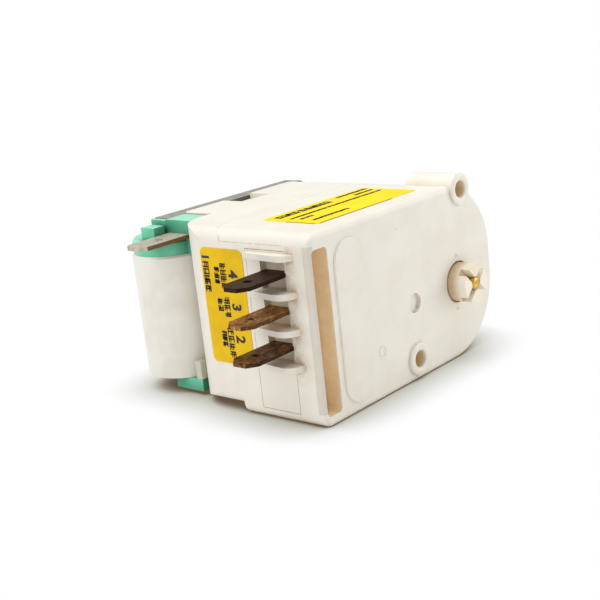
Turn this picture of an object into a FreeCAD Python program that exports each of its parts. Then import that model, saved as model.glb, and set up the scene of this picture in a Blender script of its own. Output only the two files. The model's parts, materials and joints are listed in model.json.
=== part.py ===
"""Refrigerator defrost timer: geared synchronous motor, cam switch, moulded housing and blade terminals.

Model frame while building: X runs along the housing from the blade end, Y runs from the front face back to
the motor and Z is up, with zero at the housing's lower left front corner. Every piece is moved at export so
that the row's origin is the mouth of the lower screw hole.
"""
import FreeCAD, Part
import math
import os

# Housing
length = 62.4
height = 38.2
wall = 1.6
front_wall = 1.6
left_radius = 2.5
right_flat = 4.4
front_fillet = 1.2
foot_depth = 21.3
foot_height = 1.8
parting_y = 26.7
parting_left_y = 22.8
parting_curve_x = 8.0
tongue_top_inset = 2.2
main_depth = 37.2
corner_radius = 10.0
rear_left_x = 13.2
rear_depth = 45.5
ledge = 1.0
case_rear_wall = 2.0
case_roof = 2.6
gear_room_wheel_gap = 1.53
notch_x = 25.2
notch_width = 8.6
notch_length = 6.0
notch_depth = 1.3

# Front face features
pad_x = 6.79
pad_width = 9.07
pad_z = 2.14
pad_top_inset = 2.69
pad_rise = 0.35
window_x = 0.83
window_width = 4.46
window_z = 2.28
window_top_inset = 3.0
window_depth = 4.3
window_radius = 0.9
window_frame = 1.0
screw_hole_radius = 1.85
screw_hole_depth = 10.0
boss_rise = 0.4
boss_floor = 2.0
lower_boss_radius = 3.56
lower_hole_x = 31.6
lower_hole_z = 4.62
upper_boss_radius = 3.48
upper_hole_right_inset = 11.44
upper_hole_top_inset = 1.16
dimple_x = 31.9
dimple_z = 16.7
dimple_radius = 2.1
dimple_depth = 0.8

# Clearances
running_gap = 0.05
seat_gap = 0.02
loose_gap = 0.1

# Terminals
blade_width = 6.35
blade_thickness = 0.8
blade_y = 6.18
blade_reach = 12.0
blade_root = 8.0
blade_hole_x = -7.0
blade_hole_radius = 0.95
blade_chamfer = 2.0
blade_pitch = 7.24
blade_top_inset = 7.46
coil_blade_tip_x = -6.2
coil_blade_case_gap = 1.1
coil_blade_top_inset = 4.0
coil_blade_hole_x = 1.0
coil_blade_chamfer = 1.4
coil_blade_bite = 2.5

# Terminal block
strip_y = 6.18
strip_end_y = 16.17
strip_z = 2.3
strip_top_inset = 3.2
block_back_x = 5.4
block_front_y = 4.4
block_rear_y = 16.9
pocket_depth = 1.5
pocket_end_y = 12.56
fin_thickness = 1.2
fin_top_inset = 3.7
fin_reach = 3.1
top_fin_reach = 2.0
fin_front_y = 3.8
fin_rear_y = 16.6

# Contact springs
leaf_thickness = 0.3
leaf_width = 5.0
leaf_y = 6.85
arm_hinge_x = 12.0
arm_straight = 4.0
arm_slope_run = 6.0
leaf_slope_run = 12.0
leaf_bite = 0.2
arm_cam_rise = 1.03
arm_nose_half = 2.0
arm_past_cam = 2.92
contact_to_cam = 11.58
contact_radius = 1.3
contact_head = 0.5
contact_drop = 0.65
contact_air = 0.05
leaf_past_contact = 2.5

# Cam and its shaft
cam_right_inset = 13.82
cam_z = 16.97
cam_radius = 10.0
cam_front_y = 6.0
cam_thickness = 6.7
cam_notches = 4
notch_floor_radius = 8.6
cam_notch_width = 5.4
shaft_radius = 4.3
shaft_reach = 4.5
shaft_hole_radius = 1.6
castle_depth = 2.1
castle_slot = 1.6
cover_hole_radius = 4.62
cover_hole_step = 1.0
bearing_boss_radius = 6.4
bearing_boss_end_y = 5.9
cam_hub_radius = 3.0
cam_hub_end_y = 26.3
axle_radius = 1.2
axle_reach = 3.0
washer_height = 1.3
washer_thickness = 0.35
washer_outer_radius = 5.3

# Gear train
module = 0.5
wheel_teeth = 30
pinion_teeth = 8
drive_teeth = 44
gear_thickness = 1.6
tooth_share = 0.40
addendum_share = 0.85
dedendum_share = 1.2
idler_axle_radius = 0.8
axle_boss_wall = 0.55
post_wall = 1.0
gear_plate_thickness = 1.5
gear_plate_gap = 0.1
stage_pitch = 2.7
first_wheel_inset = 2.5
pinion_front_inset = 3.3
pinion_rear_inset = 0.5
axle_post_depth = 6.0
axle_end_wall = 1.1
wheel_end_gap = 0.3
last_pinion_y = 23.8
drive_gear_y = 24.2
idler_1_angle = 171.9
idler_2_angle = 120.0

# Motor
motor_shaft_radius = 0.8
magnet_radius = 5.8
magnet_gap = 0.5
stack_thickness = 4.3
stack_top_inset = 0.4
stack_right_inset = 8.4
stack_block_reach = 18.2
stack_arm = 3.6
stack_corner = 3.0
pole_slit = 0.8
pole_bridge = 1.2
core_x = 8.0
core_width = 4.4
coil_x = 10.2
coil_rise = 2.1
sleeve_radius = 9.03
sleeve_thickness = 0.6
sleeve_z = 3.7
sleeve_top_inset = 7.5
spool_radius = 4.2
flange_radius = 8.6
top_flange_thickness = 3.2
bottom_flange_thickness = 1.2
flange_chamfer = 0.5
coil_room = 0.55
block_left_x = 7.0
block_right_x = 12.6
block_top_inset = 0.4
post_x = 3.0
post_width = 3.0
post_top_inset = 1.5
foot_x = 4.0
foot_right_x = 11.0
foot_base_z = 1.0
foot_rib = 1.6
foot_rib_height = 4.0
bracket_width = 6.0
bracket_gap = 1.2
bracket_thickness = 1.0
bearing_wall = 1.2
screw_boss_wall = 1.1
motor_screw_offset = 10.3
motor_screw_radius = 1.2
motor_screw_depth = 4.0
screw_head_radius = 2.2
screw_head_height = 1.4

# Labels
label_thickness = 0.12
side_label_y = 17.04
side_label_end_y = 28.5
side_label_z = 10.58
side_label_top_inset = 3.69
side_label_radius = 1.2
top_label_x = 9.5
top_label_right_inset = 19.7
top_label_y = 5.2
top_label_end_y = 19.6
top_label_radius = 0.8


# Values that follow from the ones above
right_radius = (height - foot_height - right_flat) / 2
notch_y = rear_depth - notch_length
pad_top_z = height - pad_top_inset
window_top_z = height - window_top_inset
upper_hole_x = length - upper_hole_right_inset
upper_hole_z = height - upper_hole_top_inset
blade_top_z = height - blade_top_inset
coil_blade_y = main_depth + coil_blade_case_gap
coil_blade_z = height - coil_blade_top_inset
strip_top_z = height - strip_top_inset
fin_top_z = height - fin_top_inset
cam_x = length - cam_right_inset
arm_flat_z = cam_z + cam_radius + arm_cam_rise
arm_end_x = cam_x + arm_past_cam
contact_x = cam_x - contact_to_cam
leaf_end_x = contact_x + leaf_past_contact
side_label_top_z = height - side_label_top_inset
top_label_end_x = length - top_label_right_inset
idler_distance = module * (wheel_teeth + pinion_teeth) / 2
drive_distance = module * (drive_teeth + pinion_teeth) / 2
idler_d_x = cam_x + drive_distance * math.cos(math.radians(idler_1_angle))
idler_d_z = cam_z + drive_distance * math.sin(math.radians(idler_1_angle))
idler_e_x = idler_d_x + idler_distance * math.cos(math.radians(idler_2_angle))
idler_e_z = idler_d_z + idler_distance * math.sin(math.radians(idler_2_angle))
rotor_x = idler_d_x + idler_distance
rotor_z = idler_d_z
wheel_tip_radius = module * (wheel_teeth / 2 + addendum_share)
gear_room_left_x = idler_e_x - wheel_tip_radius - gear_room_wheel_gap
case_floor_y = rear_depth - case_rear_wall
first_wheel_y = case_floor_y - first_wheel_inset
pinion_front_y = case_floor_y - pinion_front_inset
pinion_rear_y = case_floor_y - pinion_rear_inset
axle_end_y = rear_depth - axle_end_wall
axle_front_y = last_pinion_y - axle_post_depth
stack_y = rear_depth
stack_end_y = stack_y + stack_thickness
stack_top_z = height - stack_top_inset
stack_right_x = length - stack_right_inset
stack_block_x = rotor_x - stack_block_reach
coil_y = stack_y + coil_rise
sleeve_top_z = height - sleeve_top_inset
flange_top_z = sleeve_top_z + top_flange_thickness
block_top_z = height - block_top_inset
post_top_z = height - post_top_inset
gear_plate_y = parting_y + gear_plate_gap
gear_plate_end_y = gear_plate_y + gear_plate_thickness
blade_tops = [blade_top_z - blade_pitch * step for step in range(3)]


def vec(x, y, z):
    return FreeCAD.Vector(x, y, z)


def box(x0, x1, y0, y1, z0, z1):
    return Part.makeBox(x1 - x0, y1 - y0, z1 - z0, vec(x0, y0, z0))


def rod(x, z, radius, y0, y1):
    """Cylinder along Y."""
    return Part.makeCylinder(radius, y1 - y0, vec(x, y0, z), vec(0, 1, 0))


def tube(x, z, radius, hole_radius, y0, y1):
    return rod(x, z, radius, y0, y1).cut(rod(x, z, hole_radius, y0 - 1, y1 + 1))


def upright(x, y, radius, z0, z1):
    """Cylinder along Z."""
    return Part.makeCylinder(radius, z1 - z0, vec(x, y, z0), vec(0, 0, 1))


def fuse(first, *others):
    return first.fuse(list(others)).removeSplitter()


def corner_arc(centre_x, centre_z, radius, start_degrees, y):
    """Quarter arc in the XZ plane, going anticlockwise from the start angle."""
    points = []
    for degrees in (start_degrees, start_degrees + 45, start_degrees + 90):
        turn = math.radians(degrees)
        points.append(vec(centre_x + radius * math.cos(turn), y, centre_z + radius * math.sin(turn)))
    return Part.Arc(*points).toShape()


def rounded(x0, x1, z0, z1, left, right, y0, y1):
    """Rounded rectangle in XZ, with its own corner radius at each end, pushed along Y."""
    corners = [
        (x1 - right, z0 + right, right, -90),
        (x1 - right, z1 - right, right, 0),
        (x0 + left, z1 - left, left, 90),
        (x0 + left, z0 + left, left, 180),
    ]
    arcs = [corner_arc(x, z, radius, start, y0) for x, z, radius, start in corners]
    edges = []
    for number, arc in enumerate(arcs):
        following = arcs[(number + 1) % 4]
        edges.append(arc)
        start = arc.lastVertex(True).Point
        end = following.firstVertex(True).Point
        if (end - start).Length > 1e-6:
            edges.append(Part.makeLine(start, end))
    face = Part.Face(Part.Wire(edges))
    return face.extrude(vec(0, y1 - y0, 0))


def flat_path(points, y0, y1):
    """Closed polygon in XZ, pushed along Y."""
    corners = [vec(x, y0, z) for x, z in points]
    face = Part.Face(Part.makePolygon(corners + corners[:1]))
    return face.extrude(vec(0, y1 - y0, 0))


def strip_path(points, thickness, y0, y1):
    """Bent flat spring: the points are its lower side, and its upper side is the same line raised."""
    above = [(x, z + thickness) for x, z in reversed(points)]
    return flat_path(points + above, y0, y1)


def edges_at_y(shape, y):
    found = []
    for edge in shape.Edges:
        if all(abs(vertex.Point.y - y) < 1e-6 for vertex in edge.Vertexes):
            found.append(edge)
    return found


def rims_at_z(shape, z):
    return [edge for edge in shape.Edges if max(abs(edge.BoundBox.ZMin - z), abs(edge.BoundBox.ZMax - z)) < 1e-6]


def housing_solid(inset, y0, y1, bottom):
    """The housing's outline, drawn in by the inset, between two depths."""
    return rounded(inset, length - inset, bottom + inset, height - inset,
                   max(left_radius - inset, 0.4), right_radius - inset, y0, y1)


def parting_tool():
    """What lies behind the curved left end of the parting line, and the case's tongue round the blades."""
    start = vec(0, parting_left_y, 0)
    middle = vec(parting_curve_x * 0.4, parting_left_y + (parting_y - parting_left_y) * 0.7, 0)
    end = vec(parting_curve_x, parting_y, 0)
    edges = [Part.Arc(start, middle, end).toShape()]
    corners = [end, vec(parting_curve_x, parting_y + 1, 0), vec(-1, parting_y + 1, 0),
               vec(-1, parting_left_y, 0), start]
    for first, second in zip(corners, corners[1:]):
        edges.append(Part.makeLine(first, second))
    curved = Part.Face(Part.Wire(edges)).extrude(vec(0, 0, height + 2)).translated(vec(0, 0, -1))
    tongue = box(-1, wall, strip_y, middle.y, -1, height - tongue_top_inset)
    return curved.fuse(tongue)


def cover_shell():
    outer = housing_solid(0, 0, foot_depth, 0)
    outer = outer.makeFillet(front_fillet, edges_at_y(outer, 0))
    outer = outer.fuse(housing_solid(0, foot_depth, parting_y, foot_height))
    inner_step = foot_depth - wall
    hollow = housing_solid(wall, front_wall, inner_step, 0)
    hollow = hollow.fuse(housing_solid(wall, inner_step, parting_y + 1, foot_height))
    return outer, hollow


def make_front_cover():
    outer, hollow = cover_shell()
    shell = outer.cut(hollow).cut(parting_tool())
    pad = rounded(pad_x, pad_x + pad_width, pad_z, pad_top_z, pad_width / 2 - 0.01, pad_width / 2 - 0.01,
                  -pad_rise, front_wall)
    pad = pad.makeChamfer(pad_rise * 0.7, edges_at_y(pad, -pad_rise))
    frame = rounded(0.2, window_x + window_width + window_frame, window_z - window_frame,
                    window_top_z + window_frame, window_radius, window_radius, front_wall / 2, window_depth)
    boss_end = screw_hole_depth - boss_rise + boss_floor
    lower_boss = rod(lower_hole_x, lower_hole_z, lower_boss_radius, -boss_rise, boss_end)
    upper_boss = rod(upper_hole_x, upper_hole_z, upper_boss_radius, -boss_rise, boss_end)
    bearing = rod(cam_x, cam_z, bearing_boss_radius, front_wall / 2, bearing_boss_end_y)
    post_end = last_pinion_y - wheel_end_gap
    post = rod(idler_d_x, idler_d_z, idler_axle_radius + post_wall, front_wall / 2, post_end)
    body = fuse(shell, pad, frame, lower_boss, upper_boss, bearing, post)
    cuts = [
        rounded(window_x, window_x + window_width, window_z, window_top_z, window_radius, window_radius,
                -1, window_depth + 1),
        rod(lower_hole_x, lower_hole_z, screw_hole_radius, -1, screw_hole_depth - boss_rise),
        rod(upper_hole_x, upper_hole_z, screw_hole_radius, -1, screw_hole_depth - boss_rise),
        rod(dimple_x, dimple_z, dimple_radius, -1, dimple_depth),
        rod(cam_x, cam_z, cover_hole_radius, -1, cover_hole_step),
        rod(cam_x, cam_z, shaft_radius + running_gap, -1, bearing_boss_end_y + 1),
        rod(idler_d_x, idler_d_z, idler_axle_radius + seat_gap, axle_front_y - wheel_end_gap, post_end + 1),
    ]
    return body.cut(cuts)


def case_plan(inset, y0, y1):
    """Plan outline of the wide part of the case, with its large rounded rear left corner."""
    solid = box(inset, length + 1, y0 - corner_radius, y1, -1, height + 1)
    corner = [edge for edge in solid.Edges
              if all(abs(v.Point.x - inset) < 1e-6 and abs(v.Point.y - y1) < 1e-6 for v in edge.Vertexes)]
    return solid.makeFillet(corner_radius - inset, corner)


def rear_outline(inset, y0, y1, top_inset):
    return rounded(rear_left_x + inset, length - inset, foot_height + inset, height - top_inset,
                   0.4, right_radius - inset, y0, y1)


def make_rear_case():
    wide = housing_solid(0, parting_y, main_depth, foot_height).common(case_plan(0, parting_y, main_depth))
    narrow = rear_outline(0, main_depth - 1, rear_depth, 0)
    outer, hollow = cover_shell()
    corner = outer.cut(hollow).common(parting_tool())
    corner = corner.common(box(-1, length, 0, parting_y, -1, height + 1))
    body = fuse(wide, narrow, corner)
    inset = wall + ledge
    room = housing_solid(inset, parting_y - 1, main_depth - wall, foot_height)
    room = room.common(case_plan(inset, parting_y - 1, main_depth - wall))
    mouth = housing_solid(wall, parting_y - 1, gear_plate_end_y, foot_height)
    gear_room = rounded(gear_room_left_x, length - inset, foot_height + inset, height - case_roof,
                        1.0, right_radius - inset, main_depth - wall - 1, case_floor_y)
    coil_space = upright(coil_x, coil_y, sleeve_radius + coil_room, -1, flange_top_z + coil_room)
    notch = box(notch_x, notch_x + notch_width, notch_y, rear_depth + 1, height - notch_depth, height + 1)
    strip = box(-1, wall + 1, strip_y, strip_end_y, strip_z, strip_top_z)
    body = body.cut([room, mouth, gear_room, coil_space, notch, strip])
    motor_screws = [rotor_z - motor_screw_offset, rotor_z + motor_screw_offset]
    bosses = [rod(idler_e_x, idler_e_z, idler_axle_radius + axle_boss_wall, idler_boss_y(2), case_floor_y + 1),
              rod(idler_d_x, idler_d_z, idler_axle_radius + axle_boss_wall, idler_boss_y(1), case_floor_y + 1),
              rod(rotor_x, rotor_z, motor_shaft_radius + bearing_wall, pinion_rear_y + wheel_end_gap, case_floor_y + 1)]
    for z in motor_screws:
        bosses.append(rod(rotor_x, z, motor_screw_radius + screw_boss_wall, rear_depth - motor_screw_depth - 1,
                          case_floor_y + 1))
    body = fuse(body, *bosses)
    bores = [rod(idler_e_x, idler_e_z, idler_axle_radius + seat_gap, idler_boss_y(2) - 1, axle_end_y + loose_gap),
             rod(idler_d_x, idler_d_z, idler_axle_radius + seat_gap, idler_boss_y(1) - 1, axle_end_y + loose_gap),
             rod(rotor_x, rotor_z, motor_shaft_radius + running_gap, pinion_rear_y, rear_depth + 1)]
    for z in motor_screws:
        bores.append(rod(rotor_x, z, motor_screw_radius + seat_gap, rear_depth - motor_screw_depth,
                         rear_depth + 1))
    return body.cut(bores)


def idler_wheel_y(number):
    """Front face of an idler's wheel."""
    return first_wheel_y - stage_pitch * (number - 1)


def idler_boss_y(number):
    """Where the case's boss behind the first idler on an axle ends."""
    return idler_wheel_y(number) + gear_thickness + wheel_end_gap


def make_gear_plate():
    plate = housing_solid(wall + loose_gap, gear_plate_y, gear_plate_end_y, foot_height)
    pinion_room = module * (pinion_teeth / 2 + 1) + 0.4
    holes = [rod(idler_d_x, idler_d_z, pinion_room, gear_plate_y - 1, gear_plate_end_y + 1),
             rod(idler_e_x, idler_e_z, idler_axle_radius + seat_gap, gear_plate_y - 1, gear_plate_end_y + 1),
             rod(cam_x, cam_z, axle_radius + seat_gap, gear_plate_y - 1, gear_plate_end_y + 1)]
    return plate.cut(holes)


def gear(x, z, teeth, tooth_angle, y0, y1):
    """Spur gear with straight flanks and one tooth centred on the tooth angle, in degrees."""
    pitch_radius = module * teeth / 2
    tip_radius = pitch_radius + module * addendum_share
    root_radius = pitch_radius - module * dedendum_share
    half_pitch_tooth = math.pi * module * tooth_share / 2
    slope = math.tan(math.radians(20))
    half_tip = half_pitch_tooth - module * addendum_share * slope
    half_root = half_pitch_tooth + module * dedendum_share * slope
    points = []
    for number in range(teeth):
        centre = math.radians(tooth_angle + 360 * number / teeth)
        for radius, half in ((root_radius, -half_root), (tip_radius, -half_tip), (tip_radius, half_tip),
                             (root_radius, half_root)):
            turn = centre + half / radius
            points.append((x + radius * math.cos(turn), z + radius * math.sin(turn)))
    return flat_path(points, y0, y1)


def make_idler(x, z, number, wheel_gap_angle, pinion_tooth_angle, pinion_front):
    """Moulded wheel and pinion, free on its axle."""
    wheel_y = idler_wheel_y(number)
    wheel = gear(x, z, wheel_teeth, wheel_gap_angle + 180 / wheel_teeth, wheel_y, wheel_y + gear_thickness)
    pinion = gear(x, z, pinion_teeth, pinion_tooth_angle, pinion_front, wheel_y + gear_thickness / 2)
    body = fuse(wheel, pinion)
    return body.cut(rod(x, z, idler_axle_radius + running_gap, pinion_front - 1, wheel_y + gear_thickness + 1))


def make_idlers():
    towards_e = idler_2_angle
    towards_d = idler_2_angle + 180
    towards_cam = idler_1_angle + 180
    d = (idler_d_x, idler_d_z)
    e = (idler_e_x, idler_e_z)
    reach = stage_pitch + wheel_end_gap + 0.1
    layout = [(d, 0, towards_e), (e, towards_d, towards_d), (d, towards_e, towards_e),
              (e, towards_d, towards_d), (d, towards_e, towards_cam)]
    idlers = []
    for number, (axis, gap_angle, tooth_angle) in enumerate(layout, start=1):
        front = last_pinion_y if number == len(layout) else idler_wheel_y(number) - reach
        idlers.append(make_idler(axis[0], axis[1], number, gap_angle, tooth_angle, front))
    return idlers


def make_drive_gear():
    towards_idler = idler_1_angle
    wheel = gear(cam_x, cam_z, drive_teeth, towards_idler + 180 / drive_teeth, drive_gear_y,
                 drive_gear_y + gear_thickness)
    hub_front = cam_front_y + cam_thickness + washer_height + loose_gap
    hub = rod(cam_x, cam_z, washer_outer_radius, hub_front, drive_gear_y + gear_thickness)
    return fuse(wheel, hub).cut(rod(cam_x, cam_z, cam_hub_radius + running_gap, hub_front - 1, cam_hub_end_y))


def make_clutch_washer():
    """Conical spring washer between the cam and the drive gear's hub."""
    y0 = cam_front_y + cam_thickness
    inner = cam_hub_radius + loose_gap
    rise = washer_height - washer_thickness
    section = [vec(cam_x + inner, y0 + rise, cam_z), vec(cam_x + inner, y0 + rise + washer_thickness, cam_z),
               vec(cam_x + washer_outer_radius, y0 + washer_thickness, cam_z),
               vec(cam_x + washer_outer_radius, y0, cam_z)]
    face = Part.Face(Part.makePolygon(section + section[:1]))
    return face.revolve(vec(cam_x, 0, cam_z), vec(0, 1, 0), 360)


def make_cam():
    """Notched disc with the manual advance shaft in front and the drive gear's hub behind."""
    cam_end_y = cam_front_y + cam_thickness
    disc = rod(cam_x, cam_z, cam_radius, cam_front_y, cam_end_y)
    notch = box(cam_x - cam_notch_width / 2, cam_x + cam_notch_width / 2, cam_front_y - 1, cam_end_y + 1,
                cam_z + notch_floor_radius, cam_z + cam_radius + 1)
    notches = [notch.rotated(vec(cam_x, 0, cam_z), vec(0, 1, 0), 360 / cam_notches * number)
               for number in range(cam_notches)]
    shaft = rod(cam_x, cam_z, shaft_radius, -shaft_reach, cam_front_y)
    hub = rod(cam_x, cam_z, cam_hub_radius, cam_end_y, cam_hub_end_y)
    body = fuse(disc.cut(notches), shaft, hub)
    bore = rod(cam_x, cam_z, axle_radius + running_gap, -shaft_reach - 1, cam_hub_end_y + 1)
    mouth = rod(cam_x, cam_z, shaft_hole_radius, -shaft_reach - 1, -axle_reach)
    slot = box(cam_x - shaft_radius - 1, cam_x + shaft_radius + 1, -shaft_reach - 1, castle_depth - shaft_reach,
               cam_z - castle_slot / 2, cam_z + castle_slot / 2)
    slots = [slot.rotated(vec(cam_x, 0, cam_z), vec(0, 1, 0), turn) for turn in (45, 135)]
    return body.cut([bore, mouth] + slots)


def make_blade(top_z):
    """Quick-connect blade with pointed tip and hole, and its root inside the housing."""
    tip = -blade_reach
    y0 = blade_y
    y1 = blade_y + blade_width
    taper = blade_chamfer * 0.8
    outline = [vec(tip, y0 + taper, top_z), vec(tip + blade_chamfer, y0, top_z), vec(blade_root, y0, top_z),
               vec(blade_root, y1, top_z), vec(tip + blade_chamfer, y1, top_z), vec(tip, y1 - taper, top_z)]
    face = Part.Face(Part.makePolygon(outline + outline[:1]))
    blade = face.extrude(vec(0, 0, -blade_thickness))
    hole = upright(blade_hole_x, blade_y + blade_width / 2, blade_hole_radius, top_z - 2, top_z + 1)
    return blade.cut(hole)


def make_coil_blade():
    y0 = coil_blade_y
    y1 = coil_blade_y + blade_width
    tip = coil_blade_tip_x
    end = block_left_x + coil_blade_bite
    taper = coil_blade_chamfer
    outline = [vec(tip, y0 + taper, coil_blade_z), vec(tip + taper, y0, coil_blade_z),
               vec(end, y0, coil_blade_z), vec(end, y1, coil_blade_z), vec(tip + taper, y1, coil_blade_z),
               vec(tip, y1 - taper, coil_blade_z)]
    face = Part.Face(Part.makePolygon(outline + outline[:1]))
    blade = face.extrude(vec(0, 0, blade_thickness))
    hole = upright(coil_blade_hole_x, coil_blade_y + blade_width / 2, blade_hole_radius, coil_blade_z - 1,
                   coil_blade_z + 2)
    return blade.cut(hole)


def make_fin(mid_z, reach):
    """Ledge between two blades: rounded at the front and tapered into the face at the rear."""
    front = vec(0, fin_front_y, 0)
    bulge = vec(-reach * 0.8, fin_front_y + 1.3, 0)
    nose = vec(-reach, fin_front_y + 3.6, 0)
    rear = vec(-reach * 0.72, fin_rear_y - 2.2, 0)
    end = vec(0, fin_rear_y, 0)
    inner_end = vec(pocket_depth + 0.2, strip_end_y - loose_gap, 0)
    inner_front = vec(pocket_depth + 0.2, strip_y + loose_gap, 0)
    edges = [Part.Arc(front, bulge, nose).toShape()]
    corners = [nose, rear, end, vec(0, strip_end_y - loose_gap, 0), inner_end, inner_front,
               vec(0, strip_y + loose_gap, 0), front]
    for first, second in zip(corners, corners[1:]):
        edges.append(Part.makeLine(first, second))
    fin = Part.Face(Part.Wire(edges)).extrude(vec(0, 0, fin_thickness))
    return fin.translated(vec(0, 0, mid_z - fin_thickness / 2))


def make_terminal_block():
    plug = box(0, wall + 1, strip_y + loose_gap, strip_end_y - loose_gap, strip_z + loose_gap,
               strip_top_z - loose_gap)
    inner = box(wall + loose_gap, block_back_x, block_front_y, block_rear_y, strip_z + loose_gap,
                strip_top_z + loose_gap)
    body = plug.fuse(inner)
    fin_mids = [fin_top_z - fin_thickness / 2 - blade_pitch * number for number in range(4)]
    for upper, lower in zip(fin_mids, fin_mids[1:]):
        body = body.cut(box(-1, pocket_depth, strip_y + 2 * loose_gap, pocket_end_y,
                            lower + fin_thickness / 2, upper - fin_thickness / 2))
    fins = [make_fin(fin_mids[0], top_fin_reach)] + [make_fin(mid, fin_reach) for mid in fin_mids[1:]]
    body = fuse(body, *fins)
    slots = [box(-1, block_back_x + 1, blade_y - seat_gap, blade_y + blade_width + seat_gap,
                 top - blade_thickness - seat_gap, top + seat_gap) for top in blade_tops]
    return body.cut(slots)


def leaf_end_y():
    return leaf_y + leaf_width


def make_upper_leaf():
    low = upper_leaf_z()
    seat = blade_tops[0]
    points = [(block_back_x + leaf_bite, seat), (arm_hinge_x, seat), (arm_hinge_x + leaf_slope_run, low), (leaf_end_x, low)]
    leaf = strip_path(points, leaf_thickness, leaf_y, leaf_end_y())
    return leaf.cut(upright(contact_x, leaf_mid_y(), contact_radius / 2, low - 1, low + 1))


def make_lower_leaf():
    high = lower_leaf_z()
    seat = blade_tops[2]
    points = [(block_back_x + leaf_bite, seat), (blade_root + 1, seat), (arm_hinge_x + leaf_slope_run, high), (leaf_end_x, high)]
    leaf = strip_path(points, leaf_thickness, leaf_y, leaf_end_y())
    return leaf.cut(upright(contact_x, leaf_mid_y(), contact_radius / 2, high - 1, high + 1))


def leaf_mid_y():
    return leaf_y + leaf_width / 2


def upper_leaf_z():
    """Lower side of the upper spring above its contact."""
    return arm_flat_z + leaf_thickness + 2 * contact_head + contact_air


def lower_leaf_z():
    """Lower side of the lower spring."""
    return arm_flat_z - 2 * contact_head - contact_air - contact_drop - leaf_thickness


def make_arm_root():
    seat = blade_tops[1]
    points = [(block_back_x + leaf_bite, seat), (arm_hinge_x, seat)]
    return strip_path(points, leaf_thickness, leaf_y, leaf_end_y())


def make_contact_arm():
    seat = blade_tops[1]
    nose_z = cam_z + cam_radius + contact_air + 0.03
    points = [(arm_hinge_x, seat), (arm_hinge_x + arm_straight, seat),
              (arm_hinge_x + arm_straight + arm_slope_run, arm_flat_z),
              (cam_x - arm_nose_half, arm_flat_z), (cam_x - arm_nose_half / 4, nose_z),
              (cam_x + arm_nose_half / 4, nose_z), (cam_x + arm_nose_half, arm_flat_z),
              (arm_end_x, arm_flat_z)]
    arm = strip_path(points, leaf_thickness, leaf_y, leaf_end_y())
    return arm.cut(upright(contact_x, leaf_mid_y(), contact_radius / 2, arm_flat_z - 1, arm_flat_z + 1))


def make_rivet(low, high, leaf_low):
    """Contact rivet: a head each side of the spring, joined by a shank."""
    centre = leaf_mid_y()
    below = upright(contact_x, centre, contact_radius, low, leaf_low)
    above = upright(contact_x, centre, contact_radius, leaf_low + leaf_thickness, high)
    shank = upright(contact_x, centre, contact_radius / 2, low, high)
    return fuse(below, above, shank)


def make_stator_stack():
    core_right = core_x + core_width
    plate = rounded(core_right, stack_right_x, 0, stack_top_z, 0.05, stack_corner, stack_y, stack_end_y)
    window = box(core_right - 1, stack_block_x, stack_y - 1, stack_end_y + 1, stack_arm, stack_top_z - stack_arm)
    cuts = [window, rod(rotor_x, rotor_z, magnet_radius + magnet_gap, stack_y - 1, stack_end_y + 1),
            box(stack_block_x - 1, rotor_x, stack_y - 1, stack_end_y + 1, rotor_z - pole_slit / 2,
                rotor_z + pole_slit / 2),
            box(rotor_x, stack_right_x - pole_bridge, stack_y - 1, stack_end_y + 1, rotor_z - pole_slit / 2,
                rotor_z + pole_slit / 2)]
    for z in (rotor_z - motor_screw_offset, rotor_z + motor_screw_offset):
        cuts.append(rod(rotor_x, z, motor_screw_radius + loose_gap, stack_y - 1, stack_end_y + 1))
    return plate.cut(cuts)


def make_core_bar():
    return box(core_x, core_x + core_width, stack_y, stack_end_y, 0, stack_top_z)


def make_bobbin():
    """Coil former with its terminal head, post and foot."""
    spool = upright(coil_x, coil_y, spool_radius, sleeve_z, flange_top_z)
    top = upright(coil_x, coil_y, flange_radius, sleeve_top_z, flange_top_z)
    top = top.makeChamfer(flange_chamfer, rims_at_z(top, flange_top_z))
    bottom = upright(coil_x, coil_y, sleeve_radius - sleeve_thickness - loose_gap, sleeve_z,
                     sleeve_z + bottom_flange_thickness)
    seat_y = main_depth + loose_gap
    head = box(block_left_x, block_right_x, seat_y, stack_y - loose_gap, sleeve_top_z, block_top_z)
    post = box(post_x, post_x + post_width, stack_y - 0.5, stack_end_y - 0.8, flange_top_z - 1, post_top_z)
    foot = box(foot_x, foot_right_x, seat_y, stack_y - loose_gap, foot_base_z, sleeve_z)
    rib = box(foot_x, foot_x + foot_rib, seat_y, seat_y + foot_rib, foot_base_z, sleeve_z + foot_rib_height)
    body = fuse(spool, top, bottom, head, post, foot, rib)
    hole = box(core_x - loose_gap, core_x + core_width + loose_gap, stack_y - loose_gap, stack_end_y + loose_gap,
               foot_base_z - 1, flange_top_z + 1)
    blade_slot = box(block_left_x - 1, block_left_x + coil_blade_bite + seat_gap, coil_blade_y - seat_gap,
                     coil_blade_y + blade_width + seat_gap, coil_blade_z - seat_gap,
                     coil_blade_z + blade_thickness + seat_gap)
    return body.cut([hole, blade_slot])


def make_coil_winding():
    outer = upright(coil_x, coil_y, sleeve_radius - sleeve_thickness - seat_gap,
                    sleeve_z + bottom_flange_thickness + seat_gap, sleeve_top_z - seat_gap)
    return outer.cut(upright(coil_x, coil_y, spool_radius + seat_gap, sleeve_z, sleeve_top_z))


def make_coil_sleeve():
    outer = upright(coil_x, coil_y, sleeve_radius, sleeve_z, sleeve_top_z)
    outer = outer.makeChamfer(sleeve_thickness * 0.7, rims_at_z(outer, sleeve_top_z))
    return outer.cut(upright(coil_x, coil_y, sleeve_radius - sleeve_thickness, sleeve_z - 1, sleeve_top_z + 1))


def make_rotor_magnet():
    return tube(rotor_x, rotor_z, magnet_radius, motor_shaft_radius + seat_gap, stack_y + 0.2,
                stack_end_y - 0.1)


def bracket_back_y():
    return stack_end_y + bracket_gap + bracket_thickness


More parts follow.
